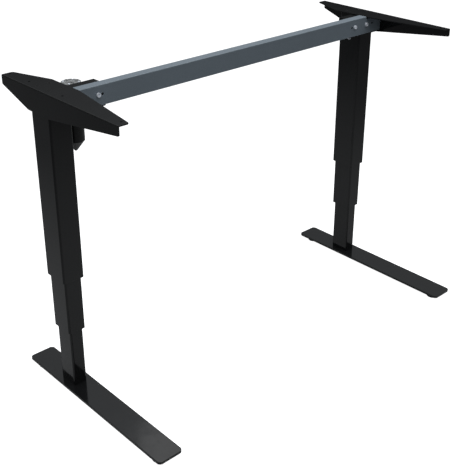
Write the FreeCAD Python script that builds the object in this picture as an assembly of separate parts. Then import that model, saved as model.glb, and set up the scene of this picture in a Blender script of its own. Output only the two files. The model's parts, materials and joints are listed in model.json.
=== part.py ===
import FreeCAD, Part
import math
import os

# Height adjustable desk frame, in millimetres.  +Z is up, +X runs along the crossbar and the long
# ends of the feet point to -Y.  The origin is on the floor, in the middle of the frame's footprint.

Vector = FreeCAD.Vector
X_AXIS = Vector(1, 0, 0)
Y_AXIS = Vector(0, 1, 0)
Z_AXIS = Vector(0, 0, 1)

# Overall layout
leg_spacing = 1320.0          # centre to centre of the two columns, along X
top_height = 1005.0           # floor to the face that the table top rests on, as drawn
lowest_top_height = 655.0
highest_top_height = 1305.0
column_setback = 148.0        # column centre behind the middle of the foot

# Fits
slide_clearance = 0.35        # between parts of different stages that slide or turn
screw_clearance = 0.1         # between a screw and its hole
stop_gap = 3.0                # left between the stages at their lowest

# Feet and glides
foot_length = 700.0
foot_width = 88.0
foot_thickness = 8.0
foot_corner_radius = 13.0
foot_top_edge_radius = 1.0
glide_height = 8.0
glide_radius = 20.0
glide_edge_radius = 2.0
glide_offset = 21.0           # glide centre from the foot's centre line
glide_front_inset = 32.0      # glide centre from the end of the foot
glide_rear_inset = 57.0
glide_stem_radius = 4.0
glide_stem_length = 5.0
foot_screw_radius = 3.0
foot_screw_head_radius = 6.5
foot_screw_head_height = 4.0
foot_screw_grip = 16.0        # length of the screw inside the plug
foot_screw_edge_x = 8.0       # screw from the plug's outer faces
foot_screw_edge_y = 12.0

# Telescopic column, widest tube on top
outer_width = 73.0
outer_depth = 95.0
tube_wall = 2.0
tube_corner_radius = 6.0
guide_gap_x = 4.7             # free gap between nested tubes, across the width
guide_gap_y = 3.3             # and across the depth
inner_exposed = 202.0         # innermost tube that shows, as drawn
mid_exposed = 184.0           # middle tube that shows, as drawn
collar_height = 38.0
collar_tab_width = 9.0
collar_tab_drop = 1.6
guide_cap_height = 12.0
guide_plug_depth = 25.0
base_plug_height = 30.0

# Drive inside the column
upper_spindle_radius = 6.0
lower_spindle_radius = 10.0
spindle_head_radius = 13.0
spindle_head_height = 5.0
nut_wall = 6.0
nut_height = 16.0
nut_flange_height = 3.5
nut_flange_rim = 3.0
spindle_overlap = 30.0        # least engagement of a spindle at full height
head_floor = 6.0
shaft_drop = 36.0             # shaft axis below the underside of the top bracket
bevel_back = 15.0             # back of a bevel gear from the point where the axes cross
bevel_front = 7.0
bevel_backlash = 0.5
bevel_hub_length = 6.0
bevel_hub_wall = 2.5
bevel_room = 22.0             # half the size of the space round the bevel gears
shaft_across_flats = 10.0
bush_outer_radius = 9.0
bush_length = 9.0
bush_flange_radius = 10.5
bush_flange_thickness = 2.0

# Top brackets
bracket_thickness = 3.0
bracket_bend_radius = 3.4
bracket_gap = 0.5             # between the column and the bracket's upright flange
bracket_front_reach = 381.0   # ends of the bracket from the column's centre, along Y
bracket_rear_reach = 193.0
bracket_mid_width = 84.5
bracket_front_width = 34.0
bracket_rear_width = 37.0
bracket_mid_front = 83.0      # ends of the wide middle of the top flange from the column's centre
bracket_mid_rear = 55.0
bracket_end_depth = 28.5
bracket_mid_depth = 72.7
bracket_slope_front = 53.5    # starts of the upright flange's slopes from the column's centre
bracket_slope_rear = 57.0
bracket_plan_end_radius = 8.0  # rounded corners, seen from above
bracket_plan_mid_radius = 20.0
bracket_side_end_radius = 6.0  # rounded corners, seen from the side
bracket_side_mid_radius = 14.0
top_hole_radius = 3.5
top_hole_edge = 24.5          # table top screw holes from the bracket's outer face
top_hole_reach = [-360.0, -92.0, 80.0, 184.0]
head_screw_radius = 3.0
head_screw_head_radius = 5.5
head_screw_head_height = 2.4
head_screw_socket_radius = 1.8
head_screw_socket_depth = 1.6
head_screw_pitch_x = 40.0
head_screw_pitch_y = 62.0
head_screw_length = 22.0      # depth of the hole in the gear head
head_screw_tip_gap = 2.0

# Crossbar and the channels that hold it
bar_column_gap = 0.5          # between the crossbar and the columns' front faces
bar_bracket_gap = 0.5         # between the crossbar's top and the brackets' inner edges
bar_depth = 34.0
bar_height = 60.3
bar_wall = 2.0
bar_edge_radius = 2.0
bar_tab_drop = 9.0            # the front wall runs on under the bracket, this far below its top
bar_tab_gap = 1.0             # and ends this far from the bracket's upright flange
channel_thickness = 4.0
channel_fit = 0.3             # between the channel's upright and the inside of the bar
channel_top_gap = 0.3         # under the bracket
channel_front_height = 46.0
channel_rear_setback = 13.0   # back of the channel in front of the column's centre
channel_floor_inset = 131.0   # inner end of the channel's floor inboard of the column's centre
channel_rear_inset = {"left": 140.0, "right": 115.0}
bolt_radius = 4.0
bolt_head_radius = 6.5
bolt_head_height = 5.0
bolt_length = 14.0
bolt_socket_radius = 3.4
bolt_socket_depth = 3.0
bolt_drop = 27.5              # bolt axis below the top of the crossbar
first_bolt_inset = 106.5      # from the column's centre, along X
bolt_pitch = 62.0
spare_hole_insets = [121.5, 10.4]
spare_hole_radius = 4.5
lower_screw_inset = 12.0      # from the channel's inner end
lower_screw_setback = 13.0

# Motor and its worm gearbox, beside the left column
motor_offset = 82.0           # motor axis inboard of the column's centre
worm_centre_distance = 17.0   # motor axis behind the cross shaft
gearbox_radius = 29.0
gearbox_top_gap = 2.0         # below the underside of the bracket
gearbox_floor_drop = 20.0     # underside of the gearbox below the cross shaft
gearbox_band_height = 34.0    # plain band round the gears
gearbox_cover_thickness = 3.0
gearbox_cover_rise = 2.0
gearbox_groove_count = 16
gearbox_groove_width = 5.0
gearbox_groove_depth = 3.0
worm_wheel_radius = 8.6
worm_wheel_width = 12.0
worm_length = 24.0
worm_mesh_gap = 0.5
gear_room = 0.5               # round the worm and its wheel
neck_height = 36.0
neck_ear_thickness = 4.0
neck_ear_reach = 40.0         # back of the mounting ear from the column's centre
neck_front_gap = 1.5          # behind the channel
neck_reach = 26.0             # back of the neck from the column's centre
neck_screw_radius = 2.5
neck_screw_head_radius = 4.5
neck_screw_head_height = 3.0
neck_screw_edge = 6.0
cover_screw_radius = 1.5
cover_screw_head_radius = 3.0
cover_screw_head_height = 2.0
cover_screw_head_edge = 0.8
cover_screw_circle = 23.0
cover_screw_count = 4
cover_screw_length = 12.0
cover_hub_radius = 9.0
cover_spoke_width = 3.0
motor_length = 126.0
motor_wall = 2.0
motor_cone_height = 33.0
motor_cone_tip_radius = 4.0
motor_cone_wall = 3.0
rotor_radius = 20.0
rotor_length = 86.0
rotor_shaft_radius = 3.0
socket_width = 18.0
socket_height = 14.0
socket_depth = 9.0
socket_wall = 2.0
socket_rise = 22.0            # socket above the bottom of the motor's casing

# Sizes that follow from the ones above
column_x = leg_spacing / 2
column_face = column_x - outer_width / 2
bracket_half_span = column_x + outer_width / 2 + bracket_gap + bracket_thickness
bracket_front = column_setback - bracket_front_reach
bracket_rear = column_setback + bracket_rear_reach
bar_front = column_setback - outer_depth / 2 - bar_column_gap - bar_depth
bar_half_length = bracket_half_span - bracket_mid_width - bar_bracket_gap
bar_tab_end = bracket_half_span - bracket_thickness - bar_tab_gap
channel_rear_face = column_setback - channel_rear_setback
channel_floor_start = column_x - channel_floor_inset
foot_bottom = glide_height
foot_top = foot_bottom + foot_thickness
bracket_underside = top_height - bracket_thickness
mid_width = outer_width - 2 * (tube_wall + guide_gap_x)
mid_depth = outer_depth - 2 * (tube_wall + guide_gap_y)
inner_width = mid_width - 2 * (tube_wall + guide_gap_x)
inner_depth = mid_depth - 2 * (tube_wall + guide_gap_y)
mid_bottom = foot_top + inner_exposed
outer_bottom = mid_bottom + mid_exposed
stage_drop = (top_height - lowest_top_height) / 2
stage_rise = (highest_top_height - top_height) / 2
shaft_z = bracket_underside - shaft_drop
bevel_seat = shaft_z - bevel_back
head_bottom = shaft_z - bevel_room - head_floor
guide_top_height = guide_cap_height + slide_clearance + nut_flange_height
mid_top = head_bottom - stage_drop - stop_gap - guide_top_height
inner_top = mid_top - guide_plug_depth - stage_drop - stop_gap - guide_top_height
upper_nut_bottom = mid_top + guide_cap_height - nut_height
lower_spindle_bottom = inner_top - nut_height - stage_rise - spindle_overlap
upper_spindle_bottom = upper_nut_bottom - stage_rise - spindle_overlap
upper_nut_radius = upper_spindle_radius + nut_wall
lower_nut_radius = lower_spindle_radius + nut_wall
shaft_corner_radius = shaft_across_flats / math.sqrt(3)
shaft_bore_radius = shaft_corner_radius + slide_clearance
bar_top = top_height
bar_bottom = bar_top - bar_height
bolt_z = bar_top - bolt_drop
motor_x = column_x - motor_offset
motor_y = column_setback + worm_centre_distance
gearbox_top = bracket_underside - gearbox_top_gap
gearbox_bottom = shaft_z - gearbox_floor_drop
gearbox_seat = gearbox_top - gearbox_cover_rise - gearbox_cover_thickness
gearbox_band_top = gearbox_bottom + gearbox_band_height
worm_radius = worm_centre_distance - worm_wheel_radius - worm_mesh_gap
motor_bottom = gearbox_bottom - motor_length


def box(x0, x1, y0, y1, z0, z1):
    """A block between two corners."""
    return Part.makeBox(x1 - x0, y1 - y0, z1 - z0, Vector(x0, y0, z0))


def rod(radius, start, direction, length):
    """A round bar from a point along a direction."""
    return Part.makeCylinder(radius, length, start, direction)


def upright(radius, x, y, z0, z1):
    """A round bar along Z."""
    return rod(radius, Vector(x, y, z0), Z_AXIS, z1 - z0)


def outline(corners):
    """A closed wire through (point, radius) corners, each rounded by a tangent arc."""
    count = len(corners)
    edges = []
    previous_end = None
    first_start = None
    for index in range(count):
        before = corners[index - 1][0]
        here, radius = corners[index]
        after = corners[(index + 1) % count][0]
        to_before = (before - here).normalize()
        to_after = (after - here).normalize()
        arc = None
        start, end = here, here
        if radius > 0:
            half = to_before.getAngle(to_after) / 2
            reach = radius / math.tan(half)
            start = here + to_before * reach
            end = here + to_after * reach
            bisector = (to_before + to_after).normalize()
            middle = here + bisector * (radius / math.sin(half) - radius)
            arc = Part.Arc(start, middle, end).toShape()
        if previous_end is None:
            first_start = start
        else:
            edges.append(Part.makeLine(previous_end, start))
        if arc:
            edges.append(arc)
        previous_end = end
    edges.append(Part.makeLine(previous_end, first_start))
    return Part.Wire(edges)


def prism(corners, direction):
    """A solid drawn out of a closed outline."""
    return Part.Face(outline(corners)).extrude(direction)


def rounded_block(width, depth, radius, x, y, z0, z1):
    """A block along Z with rounded upright edges, centred on (x, y)."""
    corners = []
    for side_x, side_y in ((-1, -1), (1, -1), (1, 1), (-1, 1)):
        corner = Vector(x + side_x * width / 2, y + side_y * depth / 2, z0)
        corners.append((corner, radius))
    return prism(corners, Vector(0, 0, z1 - z0))


def tube(width, depth, z0, z1):
    """One rectangular column tube, standing on the column's centre line."""
    outside = rounded_block(width, depth, tube_corner_radius, column_x, column_setback, z0, z1)
    inside = rounded_block(width - 2 * tube_wall, depth - 2 * tube_wall,
                           tube_corner_radius - tube_wall, column_x, column_setback, z0, z1)
    return outside.cut(inside)


def mirrored(shape):
    """The same piece on the -X side."""
    return shape.mirror(Vector(0, 0, 0), X_AXIS)


def round_edges(shape, radius, chosen):
    """Fillet the edges of a shape whose centre passes a test."""
    edges = [edge for edge in shape.Edges if chosen(edge.CenterOfMass)]
    return shape.makeFillet(radius, edges)


# Feet

def glide_places():
    """Centres of the four glides under a foot."""
    places = []
    for side in (-1, 1):
        places.append((column_x + side * glide_offset, glide_front_inset - foot_length / 2))
        places.append((column_x + side * glide_offset, foot_length / 2 - glide_rear_inset))
    return places


def foot_screw_places():
    """Where the foot's countersunk screws enter the base plug."""
    reach_x = inner_width / 2 - tube_wall - foot_screw_edge_x
    reach_y = inner_depth / 2 - tube_wall - foot_screw_edge_y
    places = []
    for side_x in (-1, 1):
        for side_y in (-1, 1):
            places.append((column_x + side_x * reach_x, column_setback + side_y * reach_y))
    return places


def foot_screw(x, y, clearance):
    """One countersunk screw, driven up through the foot; a clearance makes its hole."""
    shank_top = foot_top + foot_screw_grip + clearance
    shank = upright(foot_screw_radius + clearance, x, y, foot_bottom, shank_top)
    head = Part.makeCone(foot_screw_head_radius + clearance, foot_screw_radius + clearance,
                         foot_screw_head_height, Vector(x, y, foot_bottom))
    return shank.fuse(head).removeSplitter()


def foot_plate():
    """Flat foot with rounded corners, bored from below for the glides."""
    plate = rounded_block(foot_width, foot_length, foot_corner_radius, column_x, 0, foot_bottom, foot_top)
    plate = round_edges(plate, foot_top_edge_radius, lambda centre: abs(centre.z - foot_top) < 0.01)
    for x, y in glide_places():
        plate = plate.cut(upright(glide_stem_radius, x, y, foot_bottom, foot_bottom + glide_stem_length))
    for x, y in foot_screw_places():
        plate = plate.cut(foot_screw(x, y, screw_clearance))
    return plate


def glide(x, y):
    """A floor glide: a round pad with a stem pushed into the foot."""
    pad = upright(glide_radius, x, y, 0, glide_height)
    pad = round_edges(pad, glide_edge_radius, lambda centre: centre.z < 0.01)
    stem = upright(glide_stem_radius, x, y, glide_height / 2, foot_bottom + glide_stem_length)
    return pad.fuse(stem).removeSplitter()


def glides():
    return Part.makeCompound([glide(x, y) for x, y in glide_places()])


def foot_screws():
    return Part.makeCompound([foot_screw(x, y, 0) for x, y in foot_screw_places()])


def base_plug():
    """The block inside the innermost tube that the foot is screwed to."""
    plug = rounded_block(inner_width - 2 * tube_wall, inner_depth - 2 * tube_wall,
                         tube_corner_radius - tube_wall, column_x, column_setback,
                         foot_top, foot_top + base_plug_height)
    for x, y in foot_screw_places():
        plug = plug.cut(foot_screw(x, y, screw_clearance))
    return plug


# Column

def collar(outside_width, outside_depth, z0):
    """A plastic guide ring at a tube's lower rim, with a tab that shows on each side."""
    width = outside_width - 2 * tube_wall
    depth = outside_depth - 2 * tube_wall
    hole_width = width - 2 * guide_gap_x + 2 * slide_clearance
    hole_depth = depth - 2 * guide_gap_y + 2 * slide_clearance
    radius = tube_corner_radius - tube_wall
    solid = rounded_block(width, depth, radius, column_x, column_setback, z0 + 0.5, z0 + collar_height)
    half = collar_tab_width / 2
    low, high = z0 - collar_tab_drop, z0 + 2.0
    along_y = box(column_x - half, column_x + half,
                  column_setback - depth / 2, column_setback + depth / 2, low, high)
    along_x = box(column_x - width / 2, column_x + width / 2,
                  column_setback - half, column_setback + half, low, high)
    solid = solid.fuse([along_y, along_x])
    hole = rounded_block(hole_width, hole_depth, tube_corner_radius, column_x, column_setback,
                         low - 1, z0 + collar_height + 1)
    return solid.cut(hole).removeSplitter()


def top_guide(width, depth, z_top, pocket_radius, through_radius):
    """The plastic head of a sliding tube: it guides the tube and holds a nut or a spindle's head."""
    cap_width = width + 2 * guide_gap_x - 2 * slide_clearance
    cap_depth = depth + 2 * guide_gap_y - 2 * slide_clearance
    cap = rounded_block(cap_width, cap_depth, tube_corner_radius - tube_wall, column_x, column_setback,
                        z_top, z_top + guide_cap_height)
    plug = rounded_block(width - 2 * tube_wall, depth - 2 * tube_wall, tube_corner_radius - tube_wall,
                         column_x, column_setback, z_top - guide_plug_depth, z_top)
    pocket_bottom = z_top + guide_cap_height - nut_height - spindle_head_height - slide_clearance
    body = cap.fuse(plug).removeSplitter()
    pocket_top = z_top + guide_cap_height
    body = body.cut(upright(pocket_radius, column_x, column_setback, pocket_bottom, pocket_top))
    return body.cut(upright(through_radius, column_x, column_setback,
                            z_top - guide_plug_depth, pocket_bottom))


def inner_top_guide():
    """Guide on the innermost tube; it holds the lower nut."""
    return top_guide(inner_width, inner_depth, inner_top, lower_nut_radius,
                     lower_spindle_radius + slide_clearance)


def mid_top_guide():
    """Guide on the middle tube; the head of the lower spindle turns in it."""
    head_radius = max(spindle_head_radius, upper_nut_radius)
    return top_guide(mid_width, mid_depth, mid_top, head_radius + slide_clearance,
                     lower_spindle_radius + slide_clearance)


def spindle_nut(bottom, lift, nut_radius, spindle_radius):
    """A flanged drive nut, its flange lifted off the guide by the given amount."""
    flange_bottom = bottom + nut_height + lift
    body = upright(nut_radius, column_x, column_setback, bottom, flange_bottom)
    flange = upright(nut_radius + nut_flange_rim, column_x, column_setback,
                     flange_bottom, flange_bottom + nut_flange_height)
    bore = upright(spindle_radius + slide_clearance, column_x, column_setback,
                   bottom, flange_bottom + nut_flange_height)
    return body.fuse(flange).removeSplitter().cut(bore)


def lower_nut():
    """Nut held in the innermost tube's guide."""
    return spindle_nut(inner_top + guide_cap_height - nut_height, 0, lower_nut_radius, lower_spindle_radius)


def upper_nut():
    """Nut fixed on the lower spindle's head; the two turn together."""
    return spindle_nut(upper_nut_bottom, slide_clearance, upper_nut_radius, upper_spindle_radius)


def upper_spindle():
    """Spindle that hangs from the gear head and drives the nut on the lower spindle."""
    return upright(upper_spindle_radius, column_x, column_setback, upper_spindle_bottom, bevel_seat)


def lower_spindle():
    """Hollow spindle, held by the middle tube, that pushes the innermost tube down."""
    head_base = upper_nut_bottom - spindle_head_height
    head = upright(spindle_head_radius, column_x, column_setback, head_base, upper_nut_bottom)
    body = upright(lower_spindle_radius, column_x, column_setback, lower_spindle_bottom, head_base)
    bore = upright(upper_spindle_radius + slide_clearance, column_x, column_setback,
                   lower_spindle_bottom, upper_nut_bottom)
    return body.fuse(head).removeSplitter().cut(bore)


def bevel_blank(apex, direction):
    """A bevel gear blank whose cone points at the crossing of the axes."""
    return Part.makeCone(bevel_back - bevel_backlash, bevel_front - bevel_backlash,
                         bevel_back - bevel_front, apex - direction * bevel_back, direction)


def spindle_bevel():
    """Bevel gear on top of the upper spindle."""
    return bevel_blank(Vector(column_x, column_setback, shaft_z), Z_AXIS)


def hexagon_bar(x0, x1):
    """A length of the hexagonal cross shaft."""
    corners = []
    for step in range(6):
        angle = math.radians(60 * step)
        corners.append((Vector(x0, column_setback + shaft_corner_radius * math.cos(angle),
                               shaft_z + shaft_corner_radius * math.sin(angle)), 0))
    return prism(corners, Vector(x1 - x0, 0, 0))


def shaft_bevel():
    """Bevel gear and hub on the cross shaft."""
    apex = Vector(column_x, column_setback, shaft_z)
    hub_end = column_x - bevel_back - bevel_hub_length
    hub_start = Vector(hub_end, column_setback, shaft_z)
    hub = rod(shaft_corner_radius + bevel_hub_wall, hub_start, X_AXIS, bevel_hub_length)
    blank = bevel_blank(apex, X_AXIS).fuse(hub).removeSplitter()
    return blank.cut(hexagon_bar(hub_end, column_x - bevel_front))


def gear_head():
    """Cast block in the top of the outer tube that carries the bevel gears and the spindle."""
    width = outer_width - 2 * tube_wall
    depth = outer_depth - 2 * tube_wall
    block = rounded_block(width, depth, tube_corner_radius - tube_wall, column_x, column_setback,
                          head_bottom, bracket_underside)
    block = block.cut(box(column_x - bevel_room - bush_flange_thickness, column_x + bevel_room,
                          column_setback - bevel_room, column_setback + bevel_room,
                          shaft_z - bevel_room, shaft_z + bevel_room))
    block = block.cut(upright(upper_spindle_radius + slide_clearance, column_x, column_setback,
                              head_bottom, shaft_z - bevel_room))
    block = block.cut(rod(bush_outer_radius, Vector(column_x - width / 2, column_setback, shaft_z),
                          X_AXIS, width / 2 - bevel_room))
    for x, y in head_screw_places():
        hole = upright(head_screw_radius + screw_clearance, x, y,
                       bracket_underside - head_screw_length, bracket_underside)
        block = block.cut(hole)
    return block


def outer_tube():
    """Outer tube, bored on its inboard side for the shaft bush."""
    body = tube(outer_width, outer_depth, outer_bottom, bracket_underside)
    return body.cut(rod(bush_outer_radius, Vector(column_face - 1, column_setback, shaft_z),
                        X_AXIS, tube_wall + 2))


def shaft_bush():
    """Flanged bush that carries the cross shaft in the column's inboard wall."""
    body = rod(bush_outer_radius, Vector(column_face, column_setback, shaft_z), X_AXIS, bush_length)
    flange_face = column_face - bush_flange_thickness
    flange = rod(bush_flange_radius, Vector(flange_face, column_setback, shaft_z),
                 X_AXIS, bush_flange_thickness)
    bore = rod(shaft_bore_radius, Vector(flange_face, column_setback, shaft_z), X_AXIS,
               bush_flange_thickness + bush_length)
    return body.fuse(flange).removeSplitter().cut(bore)


# Top bracket

def head_screw_places():
    """Screws that hold the bracket down on the gear head."""
    places = []
    for side_x in (-1, 1):
        for side_y in (-1, 1):
            places.append((column_x + side_x * head_screw_pitch_x / 2,
                           column_setback + side_y * head_screw_pitch_y / 2))
    return places


def head_screw(x, y, clearance):
    """A countersunk screw, flush with the table top face; a clearance makes its hole."""
    head = Part.makeCone(head_screw_radius + clearance, head_screw_head_radius + clearance,
                         head_screw_head_height, Vector(x, y, top_height - head_screw_head_height))
    shank = upright(head_screw_radius + clearance, x, y,
                    bracket_underside - head_screw_length + head_screw_tip_gap - clearance, top_height)
    return head.fuse(shank).removeSplitter()


def bracket_section():
    """The folded angle, drawn out over the bracket's whole length."""
    top, out = top_height, bracket_half_span
    inner = out - bracket_mid_width
    low = top - bracket_mid_depth
    wall = bracket_thickness
    inside_radius = bracket_bend_radius - bracket_thickness
    corners = [(Vector(inner, bracket_front, top), 0),
               (Vector(out, bracket_front, top), bracket_bend_radius),
               (Vector(out, bracket_front, low), 0),
               (Vector(out - wall, bracket_front, low), 0),
               (Vector(out - wall, bracket_front, top - wall), inside_radius),
               (Vector(inner, bracket_front, top - wall), 0)]
    return prism(corners, Vector(0, bracket_rear - bracket_front, 0))


def bracket_plan():
    """Outline of the top flange: wide over the column, narrow at its ends."""
    out = bracket_half_span
    z0 = top_height - bracket_mid_depth - 1
    corners = [(Vector(out + 1, bracket_front, z0), 0),
               (Vector(out + 1, bracket_rear, z0), 0),
               (Vector(out - bracket_rear_width, bracket_rear, z0), bracket_plan_end_radius),
               (Vector(out - bracket_mid_width, column_setback + bracket_mid_rear, z0),
                bracket_plan_mid_radius),
               (Vector(out - bracket_mid_width, column_setback - bracket_mid_front, z0),
                bracket_plan_mid_radius),
               (Vector(out - bracket_front_width, bracket_front, z0), bracket_plan_end_radius)]
    return prism(corners, Vector(0, 0, bracket_mid_depth + 2))


def bracket_side():
    """Outline of the upright flange: deep at the column, shallow at its ends."""
    x0 = bracket_half_span - bracket_mid_width - 1
    top = top_height
    corners = [(Vector(x0, bracket_front, top + 1), 0),
               (Vector(x0, bracket_rear, top + 1), 0),
               (Vector(x0, bracket_rear, top - bracket_end_depth), bracket_side_end_radius),
               (Vector(x0, column_setback + bracket_slope_rear, top - bracket_mid_depth),
                bracket_side_mid_radius),
               (Vector(x0, column_setback - bracket_slope_front, top - bracket_mid_depth),
                bracket_side_mid_radius),
               (Vector(x0, bracket_front, top - bracket_end_depth), bracket_side_end_radius)]
    return prism(corners, Vector(bracket_mid_width + 2, 0, 0))


def top_bracket():
    """Folded bracket: top flange for the table top, upright flange hanging at its outer edge."""
    body = bracket_section().common(bracket_plan()).common(bracket_side())
    hole_x = bracket_half_span - top_hole_edge
    for reach in top_hole_reach:
        body = body.cut(upright(top_hole_radius, hole_x, column_setback + reach,
                                bracket_underside - 1, top_height + 1))
    for x, y in head_screw_places():
        body = body.cut(head_screw(x, y, screw_clearance))
    return body


def bracket_screws():
    """The screws that hold both brackets down on their gear heads."""
    screws = []
    for x, y in head_screw_places():
        socket = upright(head_screw_socket_radius, x, y,
                         top_height - head_screw_socket_depth, top_height)
        screw = head_screw(x, y, 0).cut(socket)
        screws += [screw, mirrored(screw)]
    return Part.makeCompound(screws)


# Crossbar

def bolt_places():
    """X of the two crossbar bolts at one end, as a distance from the middle."""
    first = column_x - first_bolt_inset
    return [first, first + bolt_pitch]


def crossbar():
    """Inverted channel between the brackets; its front wall runs on under them as a tab."""
    rear = bar_front + bar_depth
    wall = bar_wall
    x0 = -bar_half_length
    inside = bar_edge_radius / 2
    corners = [(Vector(x0, bar_front, bar_bottom), 0),
               (Vector(x0, bar_front, bar_top), bar_edge_radius),
               (Vector(x0, rear, bar_top), bar_edge_radius),
               (Vector(x0, rear, bar_bottom), 0),
               (Vector(x0, rear - wall, bar_bottom), 0),
               (Vector(x0, rear - wall, bar_top - wall), inside),
               (Vector(x0, bar_front + wall, bar_top - wall), inside),
               (Vector(x0, bar_front + wall, bar_bottom), 0)]
    channel = prism(corners, Vector(2 * bar_half_length, 0, 0))
    tabs = box(-bar_tab_end, bar_tab_end, bar_front, bar_front + wall, bar_bottom, bar_top - bar_tab_drop)
    body = channel.fuse(tabs).removeSplitter()
    for sign in (-1, 1):
        holes = [(reach, bolt_radius + screw_clearance) for reach in bolt_places()]
        holes += [(column_x - inset, spare_hole_radius) for inset in spare_hole_insets]
        for reach, radius in holes:
            start = Vector(sign * reach, bar_front - 1, bolt_z)
            body = body.cut(rod(radius, start, Y_AXIS, wall + 2))
    return body


def crossbar_channel(side):
    """Folded channel under and behind the crossbar's end, welded to the column and bracket."""
    thick = channel_thickness
    outer = bracket_half_span - bracket_thickness
    front = bar_front + bar_wall + channel_fit
    floor_top = bar_bottom - channel_fit
    floor_bottom = floor_top - thick
    bar_rear = bar_front + bar_depth
    rear_start = column_x - channel_rear_inset[side]
    rear_top = bracket_underside - channel_top_gap
    start = min(channel_floor_start, rear_start)
    front_wall = box(channel_floor_start, outer, front, front + thick,
                     floor_bottom, floor_bottom + channel_front_height)
    front_floor = box(channel_floor_start, outer, front, bar_rear, floor_bottom, floor_top)
    rear_floor = box(start, column_face, bar_rear - thick, channel_rear_face, floor_bottom, floor_top)
    rear_wall = box(rear_start, column_face, channel_rear_face - thick, channel_rear_face,
                    floor_bottom, rear_top)
    top_lip = box(rear_start, column_face, bar_rear + channel_fit, channel_rear_face,
                  rear_top - thick, rear_top)
    body = front_wall.fuse([front_floor, rear_floor, rear_wall, top_lip]).removeSplitter()
    for reach in bolt_places():
        hole_start = Vector(reach, front - 1, bolt_z)
        body = body.cut(rod(bolt_radius + screw_clearance, hole_start, Y_AXIS, thick + 2))
    x, y = lower_screw_place()
    return body.cut(upright(bolt_radius + screw_clearance, x, y, floor_bottom - 1, floor_top + 1))


def socket_screw(head_face, direction, length):
    """A socket head screw whose head rests on a face at the given point."""
    head_start = head_face - direction * bolt_head_height
    head = rod(bolt_head_radius, head_start, direction, bolt_head_height)
    shank = rod(bolt_radius, head_face, direction, length)
    socket = rod(bolt_socket_radius, head_start, direction, bolt_socket_depth)
    return head.fuse(shank).removeSplitter().cut(socket)


def crossbar_bolts():
    """The socket screws through the front of the crossbar, two at each end."""
    screws = []
    for sign in (-1, 1):
        for reach in bolt_places():
            screws.append(socket_screw(Vector(sign * reach, bar_front, bolt_z), Y_AXIS, bolt_length))
    return Part.makeCompound(screws)


def lower_screw_place():
    """The screw under the channel's floor, near its inner end."""
    return channel_floor_start + lower_screw_inset, bar_front + lower_screw_setback


def crossbar_lower_screws():
    """Socket screws driven up through the floors of both channels."""
    x, y = lower_screw_place()
    floor_bottom = bar_bottom - channel_fit - channel_thickness
    screws = []
    for sign in (-1, 1):
        screws.append(socket_screw(Vector(sign * x, y, floor_bottom), Z_AXIS, bolt_length))
    return Part.makeCompound(screws)


# Drive, modelled beside the right column and then mirrored to the left one

def gearbox_housing():
    """Cast worm gearbox: a grooved drum with a neck and an ear that bolts to the column."""
    drum = upright(gearbox_radius, motor_x, motor_y, gearbox_bottom, gearbox_seat)
    low, high = shaft_z - neck_height / 2, shaft_z + neck_height / 2
    front = channel_rear_face + neck_front_gap
    neck = box(motor_x, column_face, front, column_setback + neck_reach, low, high)
    ear = box(column_face - neck_ear_thickness, column_face,
              front, column_setback + neck_ear_reach, low, high)
    body = drum.fuse([neck, ear]).removeSplitter()
    for step in range(gearbox_groove_count):
        groove = box(gearbox_radius - gearbox_groove_depth, gearbox_radius + 1,
                     -gearbox_groove_width / 2, gearbox_groove_width / 2, gearbox_band_top, gearbox_seat)
        groove.rotate(Vector(0, 0, 0), Z_AXIS, 360.0 * (step + 0.5) / gearbox_groove_count)
        groove.translate(Vector(motor_x, motor_y, 0))
        body = body.cut(groove)
    body = body.cut(upright(worm_radius + gear_room, motor_x, motor_y,
                            shaft_z - worm_length / 2 - gear_room, gearbox_seat))
    half = worm_wheel_width / 2 + gear_room
    body = body.cut(rod(worm_wheel_radius + gear_room, Vector(motor_x - half, column_setback, shaft_z),
                        X_AXIS, 2 * half))
    body = body.cut(upright(rotor_shaft_radius + slide_clearance, motor_x, motor_y,
                            gearbox_bottom, shaft_z))
    far = motor_x - gearbox_radius - 1
    body = body.cut(rod(shaft_bore_radius, Vector(far, column_setback, shaft_z), X_AXIS, column_face - far))
    recess = Vector(column_face - bush_flange_thickness, column_setback, shaft_z)
    body = body.cut(rod(bush_flange_radius, recess, X_AXIS, bush_flange_thickness))
    for y, z in neck_screw_places():
        start = Vector(column_face - neck_ear_thickness, y, z)
        body = body.cut(rod(neck_screw_radius + screw_clearance, start, X_AXIS, neck_ear_thickness))
    for x, y in cover_screw_places():
        body = body.cut(upright(cover_screw_radius + screw_clearance, x, y,
                                gearbox_seat - cover_screw_length, gearbox_seat))
    return body


def neck_screw_places():
    """Screws through the gearbox's ear into the column's wall, as (y, z)."""
    y = column_setback + neck_ear_reach - neck_screw_edge
    reach = neck_height / 2 - neck_screw_edge
    return [(y, shaft_z - reach), (y, shaft_z + reach)]


def neck_screws():
    """The pan head screws in the gearbox's ear."""
    seat = column_face - neck_ear_thickness
    screws = []
    for y, z in neck_screw_places():
        head = rod(neck_screw_head_radius, Vector(seat - neck_screw_head_height, y, z),
                   X_AXIS, neck_screw_head_height)
        shank = rod(neck_screw_radius, Vector(seat, y, z), X_AXIS, neck_ear_thickness)
        screws.append(head.fuse(shank).removeSplitter())
    return Part.makeCompound(screws)


def cover_screw_places():
    """Screws on a circle round the gearbox's cover, as (x, y)."""
    places = []
    for step in range(cover_screw_count):
        angle = math.radians(45 + 360.0 * step / cover_screw_count)
        places.append((motor_x + cover_screw_circle * math.cos(angle),
                       motor_y + cover_screw_circle * math.sin(angle)))
    return places


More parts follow.
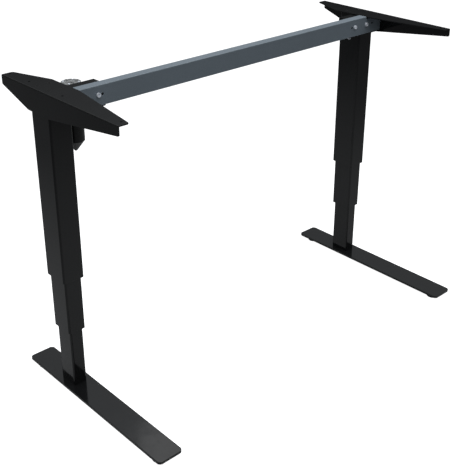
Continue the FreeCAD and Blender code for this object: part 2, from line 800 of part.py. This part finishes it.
def gearbox_cover():
    """Lid of the gearbox, with a raised hub and spokes between its screws."""
    top = gearbox_seat + gearbox_cover_thickness
    lid = upright(gearbox_radius, motor_x, motor_y, gearbox_seat, top)
    raised = [upright(cover_hub_radius, motor_x, motor_y, top, gearbox_top)]
    for step in range(cover_screw_count):
        spoke = box(0, gearbox_radius - gearbox_groove_depth, -cover_spoke_width / 2, cover_spoke_width / 2,
                    top, gearbox_top - gearbox_cover_rise / 4)
        spoke.rotate(Vector(0, 0, 0), Z_AXIS, 360.0 * step / cover_screw_count)
        spoke.translate(Vector(motor_x, motor_y, 0))
        raised.append(spoke)
    lid = lid.fuse(raised).removeSplitter()
    for x, y in cover_screw_places():
        lid = lid.cut(upright(cover_screw_radius + screw_clearance, x, y, gearbox_seat, top))
    return lid


def cover_screws():
    """Pan head screws in the gearbox's cover."""
    seat = gearbox_seat + gearbox_cover_thickness
    screws = []
    for x, y in cover_screw_places():
        head = upright(cover_screw_head_radius, x, y, seat, seat + cover_screw_head_height)
        head = round_edges(head, cover_screw_head_edge, lambda centre: centre.z > seat + 1.0)
        shank = upright(cover_screw_radius, x, y, gearbox_seat - cover_screw_length + 1, seat)
        screws.append(head.fuse(shank).removeSplitter())
    return Part.makeCompound(screws)


def worm_wheel():
    """Worm wheel blank on the cross shaft."""
    start = Vector(motor_x - worm_wheel_width / 2, column_setback, shaft_z)
    body = rod(worm_wheel_radius, start, X_AXIS, worm_wheel_width)
    return body.cut(hexagon_bar(motor_x - worm_wheel_width, motor_x + worm_wheel_width))


def motor_worm():
    """Worm blank on the top of the motor's shaft."""
    body = upright(worm_radius, motor_x, motor_y, shaft_z - worm_length / 2, shaft_z + worm_length / 2)
    return body.cut(upright(rotor_shaft_radius, motor_x, motor_y,
                            shaft_z - worm_length, shaft_z + worm_length))


def motor_rotor():
    """Wound core on the motor's shaft."""
    middle = motor_bottom + motor_length / 2
    core = upright(rotor_radius, motor_x, motor_y, middle - rotor_length / 2, middle + rotor_length / 2)
    shaft = upright(rotor_shaft_radius, motor_x, motor_y, motor_bottom + 2 * motor_wall,
                    shaft_z + worm_length / 2)
    return core.fuse(shaft).removeSplitter()


def motor_can():
    """Cylindrical motor casing, hung under the gearbox."""
    can = upright(gearbox_radius, motor_x, motor_y, motor_bottom, gearbox_bottom)
    can = can.cut(upright(gearbox_radius - motor_wall, motor_x, motor_y,
                          motor_bottom + motor_wall, gearbox_bottom - motor_wall))
    return can.cut(upright(rotor_shaft_radius + slide_clearance, motor_x, motor_y,
                           gearbox_bottom - motor_wall, gearbox_bottom))


def motor_end_cone():
    """Tapered cover on the motor's lower end."""
    bottom = motor_bottom - motor_cone_height
    cone = Part.makeCone(motor_cone_tip_radius, gearbox_radius, motor_cone_height,
                         Vector(motor_x, motor_y, bottom))
    core = Part.makeCone(motor_cone_tip_radius - motor_cone_wall, gearbox_radius - motor_cone_wall,
                         motor_cone_height - motor_cone_wall,
                         Vector(motor_x, motor_y, bottom + motor_cone_wall))
    return cone.cut(core)


def cable_socket():
    """Socket for the cable, at the back of the motor's casing."""
    z = motor_bottom + socket_rise
    back = motor_y + gearbox_radius
    half_width, half_height = socket_width / 2, socket_height / 2
    body = box(motor_x - half_width, motor_x + half_width, back - socket_depth / 2, back + socket_depth,
               z - half_height, z + half_height)
    body = body.cut(upright(gearbox_radius, motor_x, motor_y, z - socket_height, z + socket_height))
    mouth = box(motor_x - half_width + socket_wall, motor_x + half_width - socket_wall,
                back + socket_wall, back + socket_depth,
                z - half_height + socket_wall, z + half_height - socket_wall)
    return body.cut(mouth)


def leg_parts(side):
    """Every piece of one leg, modelled on the +X side."""
    return {
        "foot_plate": foot_plate(),
        "foot_screws": foot_screws(),
        "floor_glides": glides(),
        "base_plug": base_plug(),
        "inner_tube": tube(inner_width, inner_depth, foot_top, inner_top),
        "mid_tube": tube(mid_width, mid_depth, mid_bottom, mid_top),
        "outer_tube": outer_tube(),
        "mid_collar": collar(mid_width, mid_depth, mid_bottom),
        "outer_collar": collar(outer_width, outer_depth, outer_bottom),
        "inner_top_guide": inner_top_guide(),
        "mid_top_guide": mid_top_guide(),
        "lower_nut": lower_nut(),
        "upper_nut": upper_nut(),
        "lower_spindle": lower_spindle(),
        "upper_spindle": upper_spindle(),
        "spindle_bevel": spindle_bevel(),
        "shaft_bevel": shaft_bevel(),
        "shaft_bush": shaft_bush(),
        "gear_head": gear_head(),
        "top_bracket": top_bracket(),
        "crossbar_channel": crossbar_channel(side),
    }


def drive_parts():
    """The drive unit, modelled on the +X side."""
    return {
        "gearbox_housing": gearbox_housing(),
        "gearbox_cover": gearbox_cover(),
        "gearbox_cover_screws": cover_screws(),
        "gearbox_mounting_screws": neck_screws(),
        "worm_wheel": worm_wheel(),
        "motor_worm": motor_worm(),
        "motor_rotor": motor_rotor(),
        "motor_can": motor_can(),
        "motor_end_cone": motor_end_cone(),
        "cable_socket": cable_socket(),
    }


def all_parts():
    parts = {}
    for name, shape in leg_parts("right").items():
        parts["right_" + name] = shape
    for name, shape in leg_parts("left").items():
        parts["left_" + name] = mirrored(shape)
    for name, shape in drive_parts().items():
        parts[name] = mirrored(shape)
    parts["crossbar"] = crossbar()
    parts["crossbar_bolts"] = crossbar_bolts()
    parts["crossbar_lower_screws"] = crossbar_lower_screws()
    parts["bracket_screws"] = bracket_screws()
    shaft_end = column_x - bevel_front
    parts["cross_shaft"] = hexagon_bar(-shaft_end, shaft_end)
    return parts


os.makedirs("parts", exist_ok=True)
for node, shape in all_parts().items():
    shape.exportStep("parts/" + node + ".step")
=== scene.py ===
import bpy
import bmesh
import json
import math
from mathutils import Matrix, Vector

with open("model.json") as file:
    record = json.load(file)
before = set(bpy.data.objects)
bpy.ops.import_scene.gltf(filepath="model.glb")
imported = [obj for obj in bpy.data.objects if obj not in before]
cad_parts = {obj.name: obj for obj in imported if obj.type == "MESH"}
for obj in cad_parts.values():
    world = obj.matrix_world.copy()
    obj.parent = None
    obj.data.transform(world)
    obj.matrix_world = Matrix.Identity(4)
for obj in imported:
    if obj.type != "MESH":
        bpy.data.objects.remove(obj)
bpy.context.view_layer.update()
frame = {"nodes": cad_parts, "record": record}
nodes = frame["nodes"]

# Camera: the photograph's viewing angle
CAMERA_PLACE = (-1.8734, -1.9180, 1.7790)
CAMERA_AZIMUTH = -42.38
CAMERA_ELEVATION = 24.72
CAMERA_LENS = 68.3
CAMERA_SENSOR_WIDTH = 36.0
CAMERA_SHIFT = (-0.0053, -0.0989)

# Studio: the slopes are the height of a direction, 0 at the horizon and 1 straight up
WHITE = (1.0, 1.0, 1.0, 1.0)
ROOM_TINT = (0.965, 1.0, 1.035, 1.0)
ROOM_SLOPES = (0.2, 0.75)
ROOM_CURVE = 1.6
ROOM_LOW = 0.02
ROOM_HIGH = 1.15
ROOM_SEEN = 1.2
OVERHEAD = {"place": (0.2, -0.4, 3.6), "target": (0, 0, 0.5), "size": (3.4, 2.6), "power": 60.0}
REAR = {"place": (1.7, 2.05, 3.6), "target": (-0.68, -0.45, 0.0), "size": (1.4, 1.4), "power": 7.0}
FLOOR_SIZE = 14.0
FLOOR_CELLS = 8
# Painted light on the floor, lighter near the frame and darker farther out: its two values, and the
# distances in metres over which it falls off
FLOOR_LIGHT_NEAR = 0.44
FLOOR_LIGHT_FAR = 0.17
FLOOR_LIGHT_FALLOFF = (0.6, 2.6)

# Painted highlights along the edges: how far in they reach, and the agreement of rounded and real normal
# over which they grow
EDGE_REACH = 0.0009
EDGE_SAMPLES = 4
EDGE_LEAN = (0.985, 0.8)

# Painted shade along the bend lines of the folded sheets: the product of the normal's X and Z over which it
# grows
FOLD_LEAN = (0.05, 0.3)
FOLD_PAINTED_SHADE = 0.1
FOLD_ROUGHNESS = 0.7

# Parts of a noise's range that a ramp is stretched over
ALL = (0.0, 1.0)
GRAIN = (0.3, 0.7)
PATCHES = (0.35, 0.7)
RUBS = (0.3, 0.75)
FLECKS = (0.6, 0.74)
STAINS = (0.45, 0.7)
SPECKLES = (0.42, 0.58)


# Node helpers

class Nodes:
    """Makes and links the nodes of one tree."""

    def __init__(self, tree):
        self.tree = tree

    def node(self, kind, **settings):
        made = self.tree.nodes.new(kind)
        for key, value in settings.items():
            setattr(made, key, value)
        return made

    def put(self, value, socket):
        """Links a node's output to a socket, or sets the socket to a constant."""
        if isinstance(value, bpy.types.NodeSocket):
            self.tree.links.new(value, socket)
        else:
            socket.default_value = value

    def math(self, operation, *values):
        made = self.node("ShaderNodeMath", operation=operation)
        for socket, value in zip(made.inputs, values):
            self.put(value, socket)
        return made.outputs[0]

    def ramp(self, value, span=ALL, low=0.0, high=1.0):
        """Maps a span of the value's range to low and high."""
        made = self.node("ShaderNodeMapRange")
        settings = {"Value": value, "From Min": span[0], "From Max": span[1], "To Min": low, "To Max": high}
        for socket, setting in settings.items():
            self.put(setting, made.inputs[socket])
        return made.outputs["Result"]


class Surface(Nodes):
    """One node material."""

    def __init__(self, name):
        self.material = bpy.data.materials.new(name)
        self.material.use_nodes = True
        super().__init__(self.material.node_tree)
        self.shader = self.tree.nodes["Principled BSDF"]
        self.coords = self.node("ShaderNodeTexCoord").outputs["Object"]

    def noise(self, scale, detail, roughness=0.5, stretch=None):
        """The scale counts the waves in a metre."""
        made = self.node("ShaderNodeTexNoise")
        place = self.coords
        if stretch:
            mapping = self.node("ShaderNodeMapping")
            self.put(stretch, mapping.inputs["Scale"])
            self.put(self.coords, mapping.inputs["Vector"])
            place = mapping.outputs["Vector"]
        settings = {"Vector": place, "Scale": scale, "Detail": detail, "Roughness": roughness}
        for socket, setting in settings.items():
            self.put(setting, made.inputs[socket])
        return made.outputs["Fac"]

    def mix(self, factor, a, b):
        made = self.node("ShaderNodeMix", data_type="RGBA")
        self.put(factor, made.inputs["Factor"])
        self.put(a, made.inputs[6])
        self.put(b, made.inputs[7])
        return made.outputs[2]

    def edges(self):
        """1 along edges, 0 on flat faces: how far a rounded normal leans from the real one. It masks the
        painted edge highlights.
        """
        rounded = self.node("ShaderNodeBevel", samples=EDGE_SAMPLES)
        self.put(EDGE_REACH, rounded.inputs["Radius"])
        geometry = self.node("ShaderNodeNewGeometry")
        agree = self.node("ShaderNodeVectorMath", operation="DOT_PRODUCT")
        self.put(rounded.outputs["Normal"], agree.inputs[0])
        self.put(geometry.outputs["Normal"], agree.inputs[1])
        return self.ramp(agree.outputs["Value"], EDGE_LEAN)

    def fold(self):
        """1 along a bend between a top face and a side face, 0 on flat faces: the mask of the painted shade
        in the bends.
        """
        geometry = self.node("ShaderNodeNewGeometry")
        parts = self.node("ShaderNodeSeparateXYZ")
        self.put(geometry.outputs["Normal"], parts.inputs[0])
        sideways = self.math("ABSOLUTE", parts.outputs["X"])
        return self.ramp(self.math("MULTIPLY", sideways, parts.outputs["Z"]), FOLD_LEAN)

    def bump(self, height, strength, distance, normal=None):
        """The distance is the relief's depth in metres."""
        made = self.node("ShaderNodeBump")
        self.put(strength, made.inputs["Strength"])
        self.put(distance, made.inputs["Distance"])
        self.put(height, made.inputs["Height"])
        if normal:
            self.put(normal, made.inputs["Normal"])
        return made.outputs["Normal"]

    def finish(self, colour, roughness, normal=None, **others):
        """Joins the surface to the shader, with other sockets by name, and returns the material."""
        self.put(colour, self.shader.inputs["Base Color"])
        self.put(roughness, self.shader.inputs["Roughness"])
        if normal:
            self.put(normal, self.shader.inputs["Normal"])
        for socket, value in others.items():
            self.put(value, self.shader.inputs[socket.replace("_", " ")])
        return self.material


def rgb(r, g, b):
    return (r, g, b, 1.0)


def tinted(colour, factor, lift=0.0):
    """The same colour, lighter or darker."""
    return rgb(*(min(1.0, channel * factor + lift) for channel in colour[:3]))


def powder_coat(name, dark, light, rough, gloss, painted_fold_shade=False):
    """Sprayed and baked coating: orange peel, fine grain, faint dust, a painted highlight along the edges
    and, where set, painted shade in the bends.
    """
    m = Surface(name)
    cloud = m.noise(7.0, 4.0)
    fine = m.noise(2200.0, 2.0)
    peel = m.noise(320.0, 2.0)
    rub = m.noise(26.0, 5.0, roughness=0.65)
    colour = m.mix(m.ramp(cloud, PATCHES), dark, light)
    colour = m.mix(m.ramp(fine, FLECKS, high=0.35), colour, tinted(light, 2.4))
    # Painted highlight: lighter along the edges
    colour = m.mix(m.edges(), colour, tinted(light, 3.0))
    dull = m.ramp(rub, RUBS, rough - 0.03, rough + 0.07)
    if painted_fold_shade:
        # Painted shade: the bends are darkened in colour, and also made rougher
        bend = m.fold()
        colour = m.mix(bend, colour, tinted(dark, FOLD_PAINTED_SHADE))
        dull = m.math("MAXIMUM", dull, m.ramp(bend, high=FOLD_ROUGHNESS))
    normal = m.bump(fine, 0.1, 0.00003, m.bump(peel, 0.1, 0.00008))
    return m.finish(colour, dull, normal, Specular_IOR_Level=gloss)


def plated_steel(name, tint, rough, stretch=(1.0, 1.0, 1.0), streak=900.0, metal=1.0):
    """Bright metal with fine turned or drawn streaks and dull patches."""
    m = Surface(name)
    lines = m.noise(streak, 3.0, stretch=stretch)
    patch = m.noise(60.0, 4.0)
    colour = m.mix(m.ramp(patch, PATCHES), tinted(tint, 0.72), tint)
    # Painted highlight: lighter along the edges
    colour = m.mix(m.edges(), colour, tinted(tint, 1.3))
    dull = m.ramp(lines, GRAIN, rough - 0.08, rough + 0.12)
    return m.finish(colour, dull, m.bump(lines, 0.25, 0.00004), Metallic=metal)


def moulded_plastic(name, colour, rough, texture=1500.0, depth=0.00006):
    """Moulded plastic with a spark-eroded texture and faint flow marks."""
    m = Surface(name)
    grain = m.noise(texture, 2.0)
    flow = m.noise(18.0, 3.0, stretch=(1.0, 1.0, 0.3))
    lighter = tinted(colour, 1.5, lift=0.004)
    surface = m.mix(m.ramp(flow, PATCHES), colour, lighter)
    # Painted highlight: lighter along the edges
    surface = m.mix(m.edges(), surface, tinted(lighter, 1.8))
    dull = m.ramp(grain, GRAIN, rough - 0.06, rough + 0.08)
    return m.finish(surface, dull, m.bump(grain, 0.4, depth))


def cast_metal(name, colour):
    """Sand-textured casting."""
    m = Surface(name)
    pits = m.noise(700.0, 5.0, roughness=0.7)
    surface = m.mix(m.ramp(pits, GRAIN), tinted(colour, 0.7), colour)
    # Painted highlight: lighter along the edges
    surface = m.mix(m.edges(), surface, tinted(colour, 1.4))
    return m.finish(surface, m.ramp(pits, GRAIN, 0.45, 0.65), m.bump(pits, 0.5, 0.0002), Metallic=1.0)


def die_casting(name, colour):
    """Bare die casting: a speckled skin, darker in patches, bright along the edges with a painted
    highlight.
    """
    m = Surface(name)
    speckle = m.noise(260.0, 4.0, roughness=0.75)
    stain = m.noise(45.0, 4.0, roughness=0.6)
    surface = m.mix(m.ramp(speckle, SPECKLES), tinted(colour, 0.3), colour)
    surface = m.mix(m.ramp(stain, STAINS, high=0.6), surface, tinted(colour, 0.35))
    # Painted highlight: lighter along the edges
    surface = m.mix(m.edges(), surface, tinted(colour, 1.5))
    dull = m.ramp(speckle, GRAIN, 0.38, 0.58)
    return m.finish(surface, dull, m.bump(speckle, 0.5, 0.00018), Metallic=0.85)


BLACK = rgb(0.0052, 0.0054, 0.0056)
BLACK_CLOUD = rgb(0.0066, 0.0068, 0.0071)
SCREW_BLACK = rgb(0.0025, 0.0025, 0.0026)
SCREW_CLOUD = rgb(0.0035, 0.0035, 0.0036)
MOTOR_BLACK = rgb(0.0035, 0.0035, 0.0037)
MOTOR_CLOUD = rgb(0.005, 0.005, 0.0052)
BLUE_GREY = rgb(0.121, 0.146, 0.168)
BLUE_GREY_CLOUD = rgb(0.129, 0.155, 0.178)

# How each material slot of the CAD model is made
FINISHES = {
    "powder_coat": (powder_coat, dict(dark=BLACK, light=BLACK_CLOUD, rough=0.09, gloss=0.29,
                                      painted_fold_shade=True)),
    "crossbar_paint": (powder_coat, dict(dark=BLUE_GREY, light=BLUE_GREY_CLOUD, rough=0.46, gloss=0.3)),
    "black_screws": (powder_coat, dict(dark=SCREW_BLACK, light=SCREW_CLOUD, rough=0.4, gloss=0.12)),
    "motor_paint": (powder_coat, dict(dark=MOTOR_BLACK, light=MOTOR_CLOUD, rough=0.26, gloss=0.3)),
    "bolt_steel": (plated_steel, dict(tint=rgb(0.86, 0.90, 0.97), rough=0.34, metal=0.35)),
    "spindle_steel": (plated_steel, dict(tint=rgb(0.5, 0.5, 0.5), rough=0.3, stretch=(1.0, 1.0, 60.0),
                                         streak=40.0)),
    "gear_steel": (plated_steel, dict(tint=rgb(0.38, 0.38, 0.39), rough=0.36)),
    "nut_brass": (plated_steel, dict(tint=rgb(0.72, 0.52, 0.22), rough=0.3)),
    "glide_rubber": (moulded_plastic, dict(colour=rgb(0.008, 0.008, 0.008), rough=0.75, texture=900.0,
                                           depth=0.0001)),
    "guide_plastic": (moulded_plastic, dict(colour=rgb(0.006, 0.006, 0.0063), rough=0.5)),
    "motor_plastic": (moulded_plastic, dict(colour=rgb(0.012, 0.012, 0.0125), rough=0.5)),
    "cast_alloy": (cast_metal, dict(colour=rgb(0.5, 0.5, 0.51))),
    "gearbox_alloy": (die_casting, dict(colour=rgb(0.40, 0.41, 0.41))),
}
materials = {slot: make(slot, **settings) for slot, (make, settings) in FINISHES.items()}

# The CAD nodes keep their shapes and take the materials of their slots
for part in frame["record"]["subparts"]:
    shape = nodes[part["node"]]
    shape.data.materials.clear()
    shape.data.materials.append(materials[part["material_slot"]])


# Stage, light and camera

def stage_floor():
    """A pale floor that glows white to the camera, with painted light: lighter near the frame, darker
    farther out.
    """
    mesh = bpy.data.meshes.new("stage_floor")
    made = bmesh.new()
    bmesh.ops.create_grid(made, x_segments=FLOOR_CELLS, y_segments=FLOOR_CELLS, size=FLOOR_SIZE)
    made.to_mesh(mesh)
    made.free()
    floor = bpy.data.objects.new("stage_floor", mesh)
    bpy.context.scene.collection.objects.link(floor)
    m = Surface("stage_floor")
    away = m.node("ShaderNodeVectorMath", operation="LENGTH")
    m.put(m.coords, away.inputs[0])
    # Painted light: the floor's colour darkens with distance from the frame
    painted_light_falloff = m.ramp(away.outputs["Value"], FLOOR_LIGHT_FALLOFF)
    pale = m.mix(painted_light_falloff, rgb(*[FLOOR_LIGHT_NEAR] * 3), rgb(*[FLOOR_LIGHT_FAR] * 3))
    seen = m.node("ShaderNodeLightPath").outputs["Is Camera Ray"]
    material = m.finish(pale, 0.9, Specular_IOR_Level=0.1, Emission_Color=WHITE, Emission_Strength=seen)
    mesh.materials.append(material)


def area_light(name, place, target, size, power):
    """A soft box aimed at a point."""
    data = bpy.data.lights.new(name, "AREA")
    data.shape = "RECTANGLE"
    data.size, data.size_y = size
    data.energy = power
    lamp = bpy.data.objects.new(name, data)
    lamp.location = place
    lamp.rotation_mode = "QUATERNION"
    lamp.rotation_quaternion = (Vector(target) - Vector(place)).to_track_quat("-Z", "Y")
    bpy.context.scene.collection.objects.link(lamp)


def studio():
    """White surroundings that the camera sees at full strength and the frame at part strength."""
    world = bpy.data.worlds.new("studio")
    world.use_nodes = True
    m = Nodes(world.node_tree)
    direction = m.node("ShaderNodeSeparateXYZ")
    m.put(m.node("ShaderNodeTexCoord").outputs["Generated"], direction.inputs[0])
    dome = m.math("POWER", m.ramp(direction.outputs["Z"], ROOM_SLOPES), ROOM_CURVE)
    light = m.ramp(dome, low=ROOM_LOW, high=ROOM_HIGH)
    seen = m.node("ShaderNodeLightPath").outputs["Is Camera Ray"]
    background = m.tree.nodes["Background"]
    m.put(ROOM_TINT, background.inputs["Color"])
    m.put(m.ramp(seen, low=light, high=ROOM_SEEN), background.inputs["Strength"])
    bpy.context.scene.world = world
    bpy.context.scene.view_settings.view_transform = "Standard"
    area_light("overhead", **OVERHEAD)
    area_light("rear", **REAR)


def photo_camera():
    data = bpy.data.cameras.new("camera")
    data.lens = CAMERA_LENS
    data.sensor_width = CAMERA_SENSOR_WIDTH
    data.shift_x, data.shift_y = CAMERA_SHIFT
    camera = bpy.data.objects.new("camera", data)
    camera.location = CAMERA_PLACE
    a, e = math.radians(CAMERA_AZIMUTH), math.radians(CAMERA_ELEVATION)
    back = Vector((math.sin(a) * math.cos(e), -math.cos(a) * math.cos(e), math.sin(e)))
    camera.rotation_mode = "QUATERNION"
    camera.rotation_quaternion = (-back).to_track_quat("-Z", "Y")
    bpy.context.scene.collection.objects.link(camera)
    bpy.context.scene.camera = camera


stage_floor()
studio()
photo_camera()
